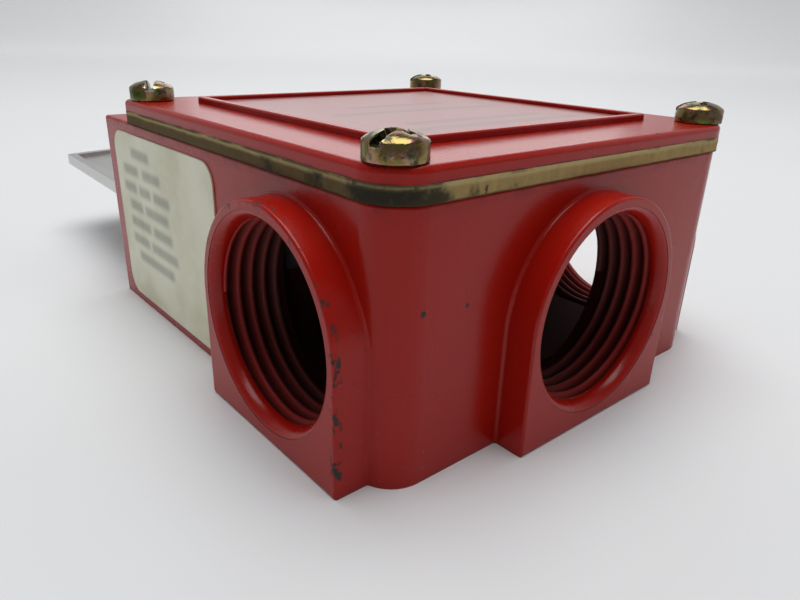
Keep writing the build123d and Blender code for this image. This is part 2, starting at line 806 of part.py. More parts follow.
# ---------------------------------------------------------------- files
nodes = {
    "housing": housing,
    "gasket": gasket,
    "cover": cover,
    "cover_nameplate": cover_nameplate,
    "cover_screws": cover_screws,
    "rating_label": rating_label,
    "pull_lever": pull_lever,
    "lever_arms": lever_arms,
    "lever_arm_screws": lever_arm_screws,
    "pivot_pin": pivot_pin,
    "pin_clips": pin_clips,
    "pin_bushings": pin_bushings,
    "pin_spacers": pin_spacers,
    "pivot_blocks": pivot_blocks,
    "pivot_block_screws": pivot_block_screws,
    "lever_spring": lever_spring,
    "switch_case": switch_case,
    "switch_cover": switch_cover,
    "switch_plunger": switch_plunger,
    "switch_terminals": switch_terminals,
    "switch_screws": switch_screws,
    "terminal_block": terminal_block,
    "terminal_clamps": terminal_clamps,
    "terminal_screws": terminal_screws,
    "terminal_block_screws": terminal_block_screws,
    "earth_screw": earth_screw,
    "lead_wires": lead_wires,
}
for node_name, node in nodes.items():
    save(node, node_name)
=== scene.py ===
import json
import math

import bmesh
import bpy
from bpy.props import FloatProperty, FloatVectorProperty, PointerProperty
from mathutils import Matrix, Vector, noise


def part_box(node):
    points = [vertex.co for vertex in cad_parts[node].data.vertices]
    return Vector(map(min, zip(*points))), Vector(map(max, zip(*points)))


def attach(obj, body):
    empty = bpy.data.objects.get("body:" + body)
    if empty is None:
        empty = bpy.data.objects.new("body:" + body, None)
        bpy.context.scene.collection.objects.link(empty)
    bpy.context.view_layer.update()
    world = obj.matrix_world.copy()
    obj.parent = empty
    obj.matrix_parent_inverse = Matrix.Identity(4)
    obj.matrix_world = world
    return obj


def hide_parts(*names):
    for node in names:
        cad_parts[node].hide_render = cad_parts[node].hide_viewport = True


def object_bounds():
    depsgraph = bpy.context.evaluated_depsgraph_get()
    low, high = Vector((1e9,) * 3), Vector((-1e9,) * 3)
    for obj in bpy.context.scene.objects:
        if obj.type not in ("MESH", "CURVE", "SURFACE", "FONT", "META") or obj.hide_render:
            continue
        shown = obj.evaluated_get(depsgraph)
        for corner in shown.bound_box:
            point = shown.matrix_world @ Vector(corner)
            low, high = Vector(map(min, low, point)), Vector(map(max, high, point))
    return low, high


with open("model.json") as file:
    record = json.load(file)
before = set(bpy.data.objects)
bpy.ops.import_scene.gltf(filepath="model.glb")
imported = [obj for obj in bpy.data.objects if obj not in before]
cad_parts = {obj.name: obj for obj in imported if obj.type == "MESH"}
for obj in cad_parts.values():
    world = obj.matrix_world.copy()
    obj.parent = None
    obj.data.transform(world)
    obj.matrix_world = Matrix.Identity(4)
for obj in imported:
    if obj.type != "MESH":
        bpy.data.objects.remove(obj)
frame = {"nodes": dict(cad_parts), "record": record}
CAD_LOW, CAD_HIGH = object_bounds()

bl_info = {
    "name": "Street Fire Alarm Box",
    "version": (1, 0, 0),
    "blender": (4, 5, 0),
    "location": "3D View > Sidebar > Alarm Box",
    "description": "Finishes a pull-lever fire alarm box round its CAD frame",
    "category": "Object",
}

MM = 0.001
FULL_TURN = 2 * math.pi
NODES = frame["nodes"]
MOUNTS = {mount["name"]: mount for mount in frame["record"]["mounts"]}
HOUSING_LOW, HOUSING_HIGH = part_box("housing")
HUBS = ("left", "right", "front")
HUB_CENTRES = {side: Vector(MOUNTS[f"conduit_{side}"]["pos_m"]) for side in HUBS}
HUB_REACH = HUB_CENTRES["left"].x - HOUSING_LOW.x
HUB_DIMS = MOUNTS["conduit_left"]["dims"]
BORE_RADIUS = HUB_DIMS["r_mm"] * MM
BORE_LENGTH = HUB_DIMS["length_mm"] * MM
HUB_WALL = 1.2 * MM
HUB_OUTER = BORE_RADIUS + HUB_WALL

# Radii between which a mask fades: at the wall of a bore, and outside its rounded rim.
BORE_EDGE = (BORE_RADIUS + 0.01 * MM, BORE_RADIUS + 0.05 * MM)
RIM_EDGE = (BORE_RADIUS + 0.9 * MM, BORE_RADIUS + 1.0 * MM)

# How far the cavity lies inside the housing's box.
HUB_TO_CAVITY = 7.4 * MM
END_WALL = 3.2 * MM
BASE_THICKNESS = 2.9 * MM


# ------------------------------------------------------------------ sizes and colours
def length(name, default, description):
    return FloatProperty(
        name=name, description=description, default=default, unit="LENGTH", precision=5
    )


def colour(name, default, description):
    return FloatVectorProperty(
        name=name, description=description, default=default, subtype="COLOR", min=0, max=1
    )


class HubThreadSizes(bpy.types.PropertyGroup):
    pitch: length("Pitch", 1.814 * MM, "Distance from one thread crest to the next")
    crest: length("Crest radius", 12.1 * MM, "Radius at the thread's crest")
    root_width: length("Root width", 1.62 * MM, "Width of one thread where it meets the bore")
    lead_in: length("Lead-in depth", 1.9 * MM, "Depth of the bevel in front of the first thread")
    turns: FloatProperty(name="Turns", description="Turns of thread in each hub", default=4.5)


class CoverScrewSizes(bpy.types.PropertyGroup):
    slot_width: length("Slot width", 1.05 * MM, "Width of the driver slot")
    slot_depth: length("Slot depth", 1.35 * MM, "Depth of the driver slot below the crown")
    recess: length("Recess radius", 1.2 * MM, "Radius of the worn recess at the middle")
    head: length("Head radius", 3.25 * MM, "Radius of the screw head")
    shank: length("Shank radius", 1.72 * MM, "Radius of the screw's shank")
    lid: length("Lid thickness", 1.7 * MM, "Height of the screw's seat above the gasket")
    wear: length("Wear", 0.14 * MM, "How far the slot's lips are pushed about")


class LeverSpringSizes(bpy.types.PropertyGroup):
    wire: length("Wire radius", 0.36 * MM, "Radius of the spring wire")
    coil: length("Coil radius", 3.15 * MM, "Radius from the pin's axis to the middle of the wire")
    coils: FloatProperty(name="Coils", description="Turns of wire round the pin", default=7.5)


class GasketSizes(bpy.types.PropertyGroup):
    fray: length("Fray", 0.16 * MM, "How far the cut edge wanders")
    pace: length("Pace", 0.9 * MM, "Distance between the points that wander")


class FinishColours(bpy.types.PropertyGroup):
    enamel: colour("Enamel", (0.38, 0.008, 0.003), "Red stoving enamel")
    chip: colour("Chip", (0.035, 0.028, 0.026), "Dirt and primer where enamel has chipped")
    gasket: colour("Gasket", (0.50, 0.35, 0.145), "Fibre gasket")
    label: colour("Label", (0.88, 0.87, 0.70), "Rating label stock")
    ink: colour("Ink", (0.17, 0.19, 0.15), "Printed bars")
    nameplate: colour("Nameplate", (0.30, 0.055, 0.05), "Enamelled nameplate")
    chromate: colour("Chromate", (0.23, 0.205, 0.07), "Yellow chromate plating")
    steel: colour("Steel", (0.70, 0.69, 0.67), "Brushed steel of the lever")


class StageSettings(bpy.types.PropertyGroup):
    floor: colour("Floor", (0.80, 0.81, 0.82), "Colour of the floor and its curved surround")
    radius: length("Radius", 1.7, "Radius of the flat floor")
    power: FloatProperty(
        name="Lamps", description="Power of each soft lamp", default=8.1, unit="POWER"
    )
    glow: FloatProperty(name="Glow", description="Light given off by the far wall", default=0.23)
    sky: FloatProperty(
        name="Sky", description="Strength of the even light from all sides", default=0.15
    )
    lens: FloatProperty(
        name="Lens", description="Focal length of the camera in millimetres", default=29.24
    )


SETTINGS = {
    "alarm_threads": HubThreadSizes,
    "alarm_screws": CoverScrewSizes,
    "alarm_spring": LeverSpringSizes,
    "alarm_gasket": GasketSizes,
    "alarm_colours": FinishColours,
    "alarm_stage": StageSettings,
}


# ------------------------------------------------------------------ shader expressions
class Value:
    """A socket that takes part in sums with numbers and with other values."""

    def __init__(self, finish, socket):
        self.finish = finish
        self.socket = socket

    def sum(self, operation, *terms):
        return self.finish.node("ShaderNodeMath", {"operation": operation}, dict(enumerate(terms)))

    def __add__(self, other):
        return self.sum("ADD", self, other)

    def __sub__(self, other):
        return self.sum("SUBTRACT", self, other)

    def __rsub__(self, other):
        return self.sum("SUBTRACT", other, self)

    def __mul__(self, other):
        return self.sum("MULTIPLY", self, other)

    def __pow__(self, other):
        return self.sum("POWER", self, other)

    def __or__(self, other):
        return self.sum("MAXIMUM", self, other)

    __radd__ = __add__
    __rmul__ = __mul__


class Finish:
    """One material: a shader with fixed settings, and the nodes that vary it over the surface."""

    def __init__(self, name, fixed):
        self.material = bpy.data.materials.new(name)
        self.material.use_nodes = True
        self.tree = self.material.node_tree
        self.shader = self.tree.nodes["Principled BSDF"]
        for socket, value in fixed.items():
            self.shader.inputs[socket].default_value = value
        self.place = self.node("ShaderNodeTexCoord", output="Object")
        axes = self.node("ShaderNodeSeparateXYZ", sockets={0: self.place})
        self.x, self.y, self.z = (Value(self, axes.socket.node.outputs[i]) for i in range(3))

    def node(self, kind, settings=None, sockets=None, output=0):
        made = self.tree.nodes.new(kind)
        for name, value in (settings or {}).items():
            if name == "stops":
                self.fill_ramp(made.color_ramp, value)
            else:
                setattr(made, name, value)
        for name, value in (sockets or {}).items():
            if isinstance(value, Value):
                self.tree.links.new(value.socket, made.inputs[name])
            else:
                made.inputs[name].default_value = value
        return Value(self, made.outputs[output])

    def fill_ramp(self, ramp, stops):
        while len(ramp.elements) < len(stops):
            ramp.elements.new(1)
        for element, (place, shade) in zip(ramp.elements, stops):
            element.position = place
            element.color = opaque(shade)

    def feed(self, **links):
        for name, value in links.items():
            self.tree.links.new(value.socket, self.shader.inputs[name.replace("_", " ")])
        return self.material

    def noise(self, scale, detail=2.0, rough=0.5, stretch=None, shift=0.0):
        where = self.place
        if stretch or shift:
            where = self.node(
                "ShaderNodeMapping",
                sockets={
                    "Vector": self.place,
                    "Location": (shift,) * 3,
                    "Scale": stretch or (1, 1, 1),
                },
            )
        return self.node(
            "ShaderNodeTexNoise",
            sockets={"Vector": where, "Scale": scale, "Detail": detail, "Roughness": rough},
        )

    def rise(self, value, low, high):
        """0 below low, 1 above high, with a soft step between."""
        return self.node(
            "ShaderNodeMapRange",
            {"interpolation_type": "SMOOTHSTEP"},
            {"Value": value, "From Min": low, "From Max": high},
        )

    def inside(self, value, low, high, soft):
        """1 between low and high, fading over soft on either side of both."""
        above_low = self.rise(value, low - soft, low + soft)
        return above_low * (1 - self.rise(value, high - soft, high + soft))

    def any_of(self, masks):
        """The highest of several masks at each point."""
        highest, *others = masks
        for mask in others:
            highest = highest | mask
        return highest

    def reach(self, one, two):
        """Distance from an axis, given the distances along the other two."""
        return (one * one + two * two) ** 0.5

    def mix(self, share, under, over):
        colours = {0: share, 6: paint(under), 7: paint(over)}
        return self.node("ShaderNodeMix", {"data_type": "RGBA"}, colours, 2)

    def ramp(self, value, stops):
        return self.node("ShaderNodeValToRGB", {"stops": stops}, {0: value})

    def edges(self, radius):
        """1 on sharp edges, fading to 0 within about a radius of them."""
        rounded = self.node("ShaderNodeBevel", {"samples": 4}, {"Radius": radius})
        flat = self.node("ShaderNodeNewGeometry", output="Normal")
        agree = self.node(
            "ShaderNodeVectorMath", {"operation": "DOT_PRODUCT"}, {0: rounded, 1: flat}, "Value"
        )
        return self.rise(1 - agree, 0.04, 0.3)

    def specks(self, scale, size, share):
        """Small round spots in a share of the cells of a pattern."""
        cell = self.node("ShaderNodeTexVoronoi", sockets={"Vector": self.place, "Scale": scale})
        lots = self.node(
            "ShaderNodeSeparateColor", sockets={0: Value(self, cell.socket.node.outputs["Color"])}
        )
        chosen = self.rise(lots, 1 - share, 1 - share * 0.98)
        return (1 - self.rise(cell, size * 0.5, size)) * chosen

    def bump(self, height, distance):
        return self.node("ShaderNodeBump", sockets={"Height": height, "Distance": distance})


def opaque(shade):
    return (*shade, 1)


def paint(shade):
    return shade if isinstance(shade, Value) else opaque(shade)


def darker(shade, share):
    return tuple(part * share for part in shade)


# ------------------------------------------------------------------ finishes
def red_enamel(colours):
    f = Finish("red enamel", {"Specular IOR Level": 0.2, "Coat Roughness": 0.14})
    low, high = HOUSING_LOW, HOUSING_HIGH
    left, right, front = HUB_CENTRES["left"], HUB_CENTRES["right"], HUB_CENTRES["front"]
    clouds = f.noise(45, 3)
    blotches = f.noise(260, 5, 0.65)
    peel = f.noise(520, 2)
    grain = f.noise(1900, 2)
    left_side = 1 - f.rise(f.x, low.x + 3 * MM, low.x + 18 * MM)
    dust = f.specks(1100, 0.24, 0.3) * f.rise(clouds + 0.16 * left_side, 0.58, 0.72)
    specks = f.specks(330, 0.16, 0.10) * f.rise(clouds, 0.45, 0.6) | 0.4 * dust
    # The flat top of the housing is bare of the dirt that creeps down from the gasket.
    ledge = 1 - f.rise(f.z, high.z - 0.04 * MM, high.z - 0.01 * MM)
    creep = f.rise(f.z, high.z - 1.6 * MM, high.z) * f.rise(blotches, 0.4, 0.6) * ledge
    line = f.rise(f.z, high.z - 0.4 * MM, high.z - 0.15 * MM) * ledge * blotches
    under_gasket = creep | line
    cavity = (
        f.inside(f.x, low.x + HUB_TO_CAVITY, high.x - HUB_TO_CAVITY, 0.2 * MM)
        * f.inside(f.y, low.y + HUB_TO_CAVITY, high.y - END_WALL, 0.2 * MM)
        * f.inside(f.z, BASE_THICKNESS, high.z - 0.2 * MM, 0.1 * MM)
    )
    side_axis = f.reach(f.y - left.y, f.z - left.z)
    front_axis = f.reach(f.x - front.x, f.z - front.z)
    beside = 1 - f.inside(f.x, left.x + 10 * MM, right.x - 10 * MM, 0.1 * MM)
    before = 1 - f.rise(f.y, front.y + 9.5 * MM, front.y + 9.6 * MM)
    bores, rims = (
        (1 - f.rise(side_axis, *edge)) * beside | (1 - f.rise(front_axis, *edge)) * before
        for edge in (BORE_EDGE, RIM_EDGE)
    )
    flakes = f.noise(760, 5, 0.7, stretch=(1, 1, 0.6), shift=4.2)
    left_mouth = 1 - f.rise(f.x, left.x - 3.4 * MM, left.x - 2.9 * MM)
    left_front = left.y - HUB_OUTER
    corner = left_mouth * (1 - f.rise(f.y, left_front + 0.2 * MM, left_front + 1.1 * MM))
    crown = left_mouth * f.inside(side_axis, HUB_OUTER - 0.7 * MM, HUB_OUTER + 0.6 * MM, 0.3 * MM)
    crown = crown * f.rise(f.z, 13 * MM, 22 * MM)
    rubbed = f.rise(flakes + 0.04 * corner, 0.57, 0.61) * (corner | 0.85 * crown)
    chips = rubbed | f.rise(f.edges(0.7 * MM) * blotches, 0.42, 0.47) * (1 - rims)
    red = f.mix(clouds, darker(colours.enamel, 0.94), colours.enamel)
    red = f.mix(0.35 * under_gasket, red, darker(colours.enamel, 0.2))
    # Painted shade: the inside of the box and the bore's wall between the threads are painted near
    # black.
    red = f.mix(0.94 * (cavity | bores), red, (0.022, 0.008, 0.007))
    red = f.mix(chips | specks, red, colours.chip)
    bare = chips | specks | cavity | bores
    return f.feed(
        Base_Color=red,
        Roughness=0.25 + 0.04 * clouds + 0.35 * bare + 0.3 * cavity + 0.12 * under_gasket,
        Coat_Weight=0.15 - 0.15 * (cavity | bores),
        Normal=f.bump(0.7 * peel + 0.3 * grain - 0.8 * chips, 0.05 * MM),
    )


def thread_enamel(colours):
    """Enamel in the hubs: even on the lead-in bevel, dull between the threads, with painted shade
    on the threads, most between them and deeper in the bore.
    """
    f = Finish("thread enamel", {"Specular IOR Level": 0.3})
    flank = f.node("ShaderNodeAttribute", {"attribute_name": "flank"}, output="Fac")
    depth = f.node("ShaderNodeAttribute", {"attribute_name": "depth"}, output="Fac")
    blotches = f.noise(300, 4, 0.6)
    in_bore = f.rise(depth, 0.15, 0.2)
    valley_shade = (0.1 + 0.85 * f.rise(flank, 0.2, 0.8)) * in_bore
    deep = f.rise(depth, 0.1, 0.95)
    # Painted shade: the threads are darker than the lead-in bevel.
    red = f.mix(0.45 * in_bore, colours.enamel, (0.20, 0.018, 0.014))
    # Painted shade between the threads, darkest at their feet and mottled.
    red = f.mix(valley_shade * (0.55 + 0.4 * blotches), red, (0.03, 0.008, 0.007))
    # Painted shade that deepens towards the back of the bore.
    red = f.mix(0.75 * deep, red, (0.035, 0.018, 0.016))
    return f.feed(
        Base_Color=red,
        Roughness=0.24 + 0.26 * in_bore + 0.2 * valley_shade + 0.06 * blotches,
        Normal=f.bump(blotches, 0.05 * MM),
    )


def gasket_fibre(colours):
    f = Finish("gasket fibre", {"Specular IOR Level": 0.1})
    fibres = f.noise(900, 4, 0.7, stretch=(1, 1, 0.35))
    blotches = f.noise(150, 4, 0.6)
    low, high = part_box("gasket")
    front_corner = 1 - f.rise(f.x + f.y - (low.x + low.y), 1 * MM, 19 * MM)
    left_side = 1 - f.rise(f.x, low.x + 1 * MM, low.x + 9 * MM)
    waist = f.inside(f.z + 1.1 * MM * blotches, low.z + 0.5 * MM, high.z + 0.35 * MM, 0.3 * MM)
    soiled = f.rise(blotches + 0.17 * front_corner + 0.04 * left_side, 0.60, 0.72) * waist
    runs = f.noise(600, 4, 0.7, stretch=(1, 1, 0.4), shift=6.0)
    drips = f.rise(runs + 0.16 * front_corner, 0.68, 0.76)
    top_edge_highlight = f.rise(f.z + 0.6 * MM * blotches, high.z - 0.45 * MM, high.z - 0.02 * MM)
    tan = f.mix(fibres, darker(colours.gasket, 0.5), colours.gasket)
    tan = f.mix(0.85 * left_side, tan, (0.085, 0.06, 0.03))
    # Painted highlight: a paler band along the gasket's top edge.
    tan = f.mix(0.6 * top_edge_highlight, tan, (0.50, 0.40, 0.19))
    lower_seam = 1 - f.rise(f.z, low.z + 0.05 * MM, low.z + 0.25 * MM)
    upper_seam = f.rise(f.z, high.z - 0.3 * MM, high.z - 0.12 * MM)
    seams = lower_seam | upper_seam * f.rise(blotches + 0.12 * left_side, 0.5, 0.62)
    tan = f.mix(0.88 * soiled | 0.8 * drips | 0.7 * seams, tan, (0.016, 0.016, 0.012))
    return f.feed(Base_Color=tan, Roughness=0.9 - 0.3 * soiled, Normal=f.bump(fibres, 0.12 * MM))


def chromate_plate(colours):
    f = Finish("yellow chromate plate", {"Specular IOR Level": 0.6})
    film = f.noise(420, 3, 0.6)
    worn = f.edges(0.35 * MM)
    scratches = f.noise(1500, 3, 0.7, stretch=(0.25, 1, 1))
    gold = f.ramp(
        film,
        [
            (0.30, (0.10, 0.16, 0.04)),
            (0.42, colours.chromate),
            (0.50, (0.28, 0.18, 0.06)),
            (0.57, (0.40, 0.21, 0.17)),
            (0.64, (0.18, 0.28, 0.07)),
            # The palest stop is a painted highlight.
            (0.74, (0.80, 0.77, 0.45)),
        ],
    )
    # Bright steel on the scratched edges: worn plating, partly a painted highlight.
    gold = f.mix(0.9 * worn * scratches, gold, (0.88, 0.87, 0.76))
    grime = f.rise(f.noise(700, 4, 0.7, shift=3.1), 0.48, 0.64)
    gold = f.mix(0.85 * grime, gold, (0.02, 0.02, 0.008))
    return f.feed(
        Base_Color=gold,
        Metallic=1 - 0.5 * grime,
        Roughness=0.09 + 0.14 * scratches + 0.3 * grime,
        Normal=f.bump(scratches + film, 0.04 * MM),
    )


def label_stock(colours):
    f = Finish("rating label", {"Specular IOR Level": 0.35})
    low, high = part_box("rating_label")
    span, tall = high.y - low.y, high.z - low.z
    first_row, row_pitch = 0.105, 0.103
    half_bar = 0.8 * MM
    rows = [
        [(0.20, 0.40)],
        [(0.09, 0.26), (0.31, 0.50)],
        [(0.08, 0.22), (0.25, 0.38), (0.41, 0.58)],
        [(0.12, 0.27), (0.30, 0.55)],
        [(0.11, 0.34), (0.37, 0.57)],
        [(0.11, 0.30), (0.33, 0.61)],
        [(0.16, 0.55)],
    ]
    bars = []
    for row, parts in enumerate(rows):
        middle = high.z - tall * (first_row + row_pitch * row)
        line = f.inside(f.z, middle - half_bar, middle + half_bar, 0.55 * MM)
        for start, end in parts:
            bars.append(line * f.inside(f.y, high.y - span * end, high.y - span * start, 0.9 * MM))
    printed = f.any_of(bars)
    fade = f.noise(700, 4, 0.7)
    stains = f.noise(70, 4, 0.6)
    stock = f.mix(f.rise(stains, 0.35, 0.75), colours.label, (0.70, 0.67, 0.48))
    stock = f.mix(printed * (0.35 + 0.3 * fade), stock, colours.ink)
    dirt = f.edges(0.5 * MM) * f.noise(400, 3)
    stock = f.mix(0.6 * dirt, stock, (0.16, 0.11, 0.07))
    return f.feed(
        Base_Color=stock,
        Roughness=0.42 + 0.2 * stains,
        Normal=f.bump(stains + 0.3 * fade, 0.06 * MM),
    )


def nameplate_metal(colours):
    f = Finish("nameplate", {"Specular IOR Level": 0.3, "Coat Weight": 0.2, "Coat Roughness": 0.15})
    low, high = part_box("cover_nameplate")
    span = high.x - low.x
    half_bar, soft = 1.1 * MM, 0.15 * MM
    bars = []
    for across, start, end in (
        (0.12, 0.16, 0.84),
        (0.22, 0.22, 0.78),
        (0.46, 0.14, 0.86),
        (0.60, 0.30, 0.70),
    ):
        middle = low.y + span * across
        line = f.inside(f.y, middle - half_bar, middle + half_bar, soft)
        bars.append(line * f.inside(f.x, low.x + span * start, low.x + span * end, soft))
    printed = f.any_of(bars)
    brushed = f.noise(600, 3, 0.6, stretch=(0.04, 1, 1))
    haze = f.noise(60, 4, 0.6)
    metal = f.mix(brushed, darker(colours.nameplate, 0.9), colours.nameplate)
    metal = f.mix(0.55 * printed, metal, (0.09, 0.02, 0.02))
    scuffs = f.rise(f.noise(300, 5, 0.75, stretch=(1, 0.2, 1), shift=1.7), 0.6, 0.7)
    metal = f.mix(0.3 * scuffs, metal, (0.4, 0.25, 0.24))
    return f.feed(
        Base_Color=metal,
        Roughness=0.27 + 0.06 * haze + 0.1 * scuffs,
        Normal=f.bump(brushed - 0.7 * printed, 0.03 * MM),
    )


def plain_metal(name, shade, grain, rough, stretch=(1, 1, 1)):
    """Streaky bare or plated metal, tarnished in clouds and bright on its edges."""
    f = Finish(name, {"Specular IOR Level": 0.5})
    streaks = f.noise(grain, 4, 0.65, stretch=stretch)
    clouds = f.noise(90, 4, 0.6)
    worn = f.edges(0.4 * MM)
    tarnish = f.rise(clouds, 0.5, 0.75)
    metal = f.mix(streaks, darker(shade, 0.72), shade)
    metal = f.mix(0.45 * tarnish, metal, darker(shade, 0.35))
    metal = f.mix(0.5 * worn, metal, darker(shade, 1.35))
    return f.feed(
        Base_Color=metal,
        Metallic=1 - 0.25 * tarnish,
        Roughness=rough + 0.16 * streaks + 0.15 * tarnish,
        Normal=f.bump(streaks, 0.02 * MM),
    )


def moulded_plastic(name, shade, gloss):
    f = Finish(name, {"Specular IOR Level": 0.45})
    grain = f.noise(2600, 2)
    flow = f.noise(120, 3, 0.6)
    worn = f.edges(0.3 * MM)
    dust = f.rise(f.noise(500, 4, 0.7), 0.55, 0.75)
    plastic = f.mix(flow, darker(shade, 0.75), darker(shade, 1.2))
    plastic = f.mix(0.25 * worn, plastic, (0.3, 0.29, 0.27))
    plastic = f.mix(0.12 * dust, plastic, (0.35, 0.32, 0.28))
    return f.feed(
        Base_Color=plastic,
        Roughness=gloss + 0.2 * flow + 0.1 * dust,
        Normal=f.bump(grain, 0.02 * MM),
    )


FINISHES = {
    "red_enamel": red_enamel,
    "gasket": gasket_fibre,
    "chromate_steel": chromate_plate,
    "label": label_stock,
    "nameplate": nameplate_metal,
    "bare_steel": lambda c: plain_metal("lever steel", c.steel, 700, 0.25, (1, 0.05, 1)),
    "zinc_steel": lambda c: plain_metal("zinc plate", (0.55, 0.56, 0.58), 900, 0.3),
    "spring_steel": lambda c: plain_metal("spring wire", (0.32, 0.31, 0.30), 1500, 0.28),
    "bronze": lambda c: plain_metal("sintered bronze", (0.52, 0.30, 0.12), 1200, 0.4),
    "brass": lambda c: plain_metal("brass", (0.72, 0.50, 0.18), 800, 0.24),
    "green_steel": lambda c: plain_metal("green earth plate", (0.04, 0.22, 0.07), 900, 0.35),
    "black_plastic": lambda c: moulded_plastic("phenolic", (0.018, 0.017, 0.017), 0.38),
    "plunger_plastic": lambda c: moulded_plastic("plunger plastic", (0.42, 0.40, 0.34), 0.35),
    "wire_insulation": lambda c: moulded_plastic("wire insulation", (0.20, 0.03, 0.02), 0.42),
}


def finish(slot):
    """The material of a slot in the record, made the first time it is asked for."""
    name = f"slot {slot}"
    kept = bpy.context.scene.get(name)
    if kept:
        return bpy.data.materials[kept]
    material = FINISHES[slot](bpy.context.scene.alarm_colours)
    bpy.context.scene[name] = material.name
    return material


def dress(slot, *nodes):
    """Gives CAD nodes the finish of their slot."""
    material = finish(slot)
    for node in nodes:
        piece = NODES[node]
        if not piece.material_slots:
            piece.data.materials.append(material)
        for held in piece.material_slots:
            held.material = material


# ------------------------------------------------------------------ modelling helpers
def piece_from(bm, name, slot, body, replaced=(), *, smooth):
    """A finished piece: mesh, finish, CAD body and the nodes it stands for.

    Edges that turn by more than smooth degrees stay sharp.
    """
    bmesh.ops.recalc_face_normals(bm, faces=bm.faces)
    mesh = bpy.data.meshes.new(name)
    bm.to_mesh(mesh)
    bm.free()
    piece = bpy.data.objects.new(name, mesh)
    bpy.context.scene.collection.objects.link(piece)
    mesh.materials.append(finish(slot))
    mesh.shade_smooth()
    mesh.set_sharp_from_angle(angle=math.radians(smooth))
    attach(piece, body)
    if replaced:
        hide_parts(*replaced)
    return piece


def points_of(geometry):
    return [item for item in geometry if isinstance(item, bmesh.types.BMVert)]


def outline(bm, points, closed=True):
    """Edges joining these corners in the x-z plane, ready to be turned about z."""
    corners = [bm.verts.new((radius, 0, height)) for radius, height in points]
    ends = corners[1:] + corners[:1] if closed else corners[1:]
    return corners + [bm.edges.new(pair) for pair in zip(corners, ends)]


def turned(bm, geometry, steps):
    """A full turn of an outline about z, with its seam closed."""
    bmesh.ops.spin(
        bm,
        geom=geometry,
        axis=(0, 0, 1),
        cent=(0, 0, 0),
        angle=FULL_TURN,
        steps=steps,
        use_merge=True,
    )
    bmesh.ops.remove_doubles(bm, verts=bm.verts, dist=0.001 * MM)


def wound(bm, geometry, turns, steps, rise):
    """An outline wound about z while it climbs by rise, with both ends capped."""
    corners = points_of(geometry)
    last = bmesh.ops.spin(
        bm,
        geom=geometry,
        axis=(0, 0, 1),
        cent=(0, 0, 0),
        dvec=(0, 0, rise / steps),
        angle=FULL_TURN * turns,
        steps=steps,
    )["geom_last"]
    bmesh.ops.contextual_create(bm, geom=corners)
    bmesh.ops.contextual_create(bm, geom=points_of(last))


# ------------------------------------------------------------------ operators
class ALARM_OT_hub_threads(bpy.types.Operator):
    """Winds a pipe thread and turns its lead-in bevel in each conduit hub"""

    bl_idname = "alarm.hub_threads"
    bl_label = "Hub Threads"

    def execute(self, context):
        sizes = context.scene.alarm_threads
        material = thread_enamel(context.scene.alarm_colours)
        for side in HUBS:
            bm = bmesh.new()
            self.lead_in(bm, sizes)
            self.ridge(bm, sizes)
            outward = Vector(MOUNTS[f"conduit_{side}"]["axis"])
            mouth = HUB_CENTRES[side] + outward * HUB_REACH
            turn = (-outward).to_track_quat("Z", "Y").to_matrix().to_4x4()
            self.mark(bm)
            bmesh.ops.transform(bm, matrix=Matrix.Translation(mouth) @ turn, verts=bm.verts)
            piece = piece_from(bm, f"hub_thread_{side}", "red_enamel", "box", smooth=60)
            piece.data.materials[0] = material
        return {"FINISHED"}

    def mark(self, bm):
        """Writes each point's place on the flank and depth in the bore, for the finish."""
        flank = bm.verts.layers.float.new("flank")
        depth = bm.verts.layers.float.new("depth")
        innermost = 12 * MM
        for vert in bm.verts:
            vert[flank] = (vert.co.xy.length - innermost) / (BORE_RADIUS - innermost)
            vert[depth] = vert.co.z / BORE_LENGTH

    def ridge(self, bm, sizes):
        """The thread: one section, with its foot sunk in the wall, wound down the bore."""
        sunk = BORE_RADIUS + 0.25 * MM
        foot = BORE_RADIUS - 0.1 * MM
        crest = sizes.crest
        shoulder = crest + 0.28 * MM
        first = sizes.lead_in
        half = sizes.root_width / 2
        half_shoulder = 0.34 * MM
        half_crest = 0.13 * MM
        section = outline(
            bm,
            [
                (sunk, first - half),
                (foot, first - half),
                (shoulder, first - half_shoulder),
                (crest, first - half_crest),
                (crest, first + half_crest),
                (shoulder, first + half_shoulder),
                (foot, first + half),
                (sunk, first + half),
            ],
        )
        steps = int(72 * sizes.turns)
        wound(bm, section, sizes.turns, steps, sizes.pitch * sizes.turns)

    def lead_in(self, bm, sizes):
        """The bevel at the mouth: steeper the deeper it goes, and closed behind."""
        rim = BORE_RADIUS + 0.42 * MM
        throat = sizes.crest + 0.12 * MM
        curve = [
            (0, 0.006),
            (0.16, 0.012),
            (0.36, 0.04),
            (0.58, 0.16),
            (0.77, 0.38),
            (0.91, 0.68),
            (1, 1),
        ]
        section = outline(
            bm,
            [(rim + (throat - rim) * share, sizes.lead_in * deep) for share, deep in curve]
            + [(throat + 0.3 * MM, sizes.lead_in + 0.3 * MM), (rim, sizes.lead_in + 0.7 * MM)],
        )
        turned(bm, section, 96)


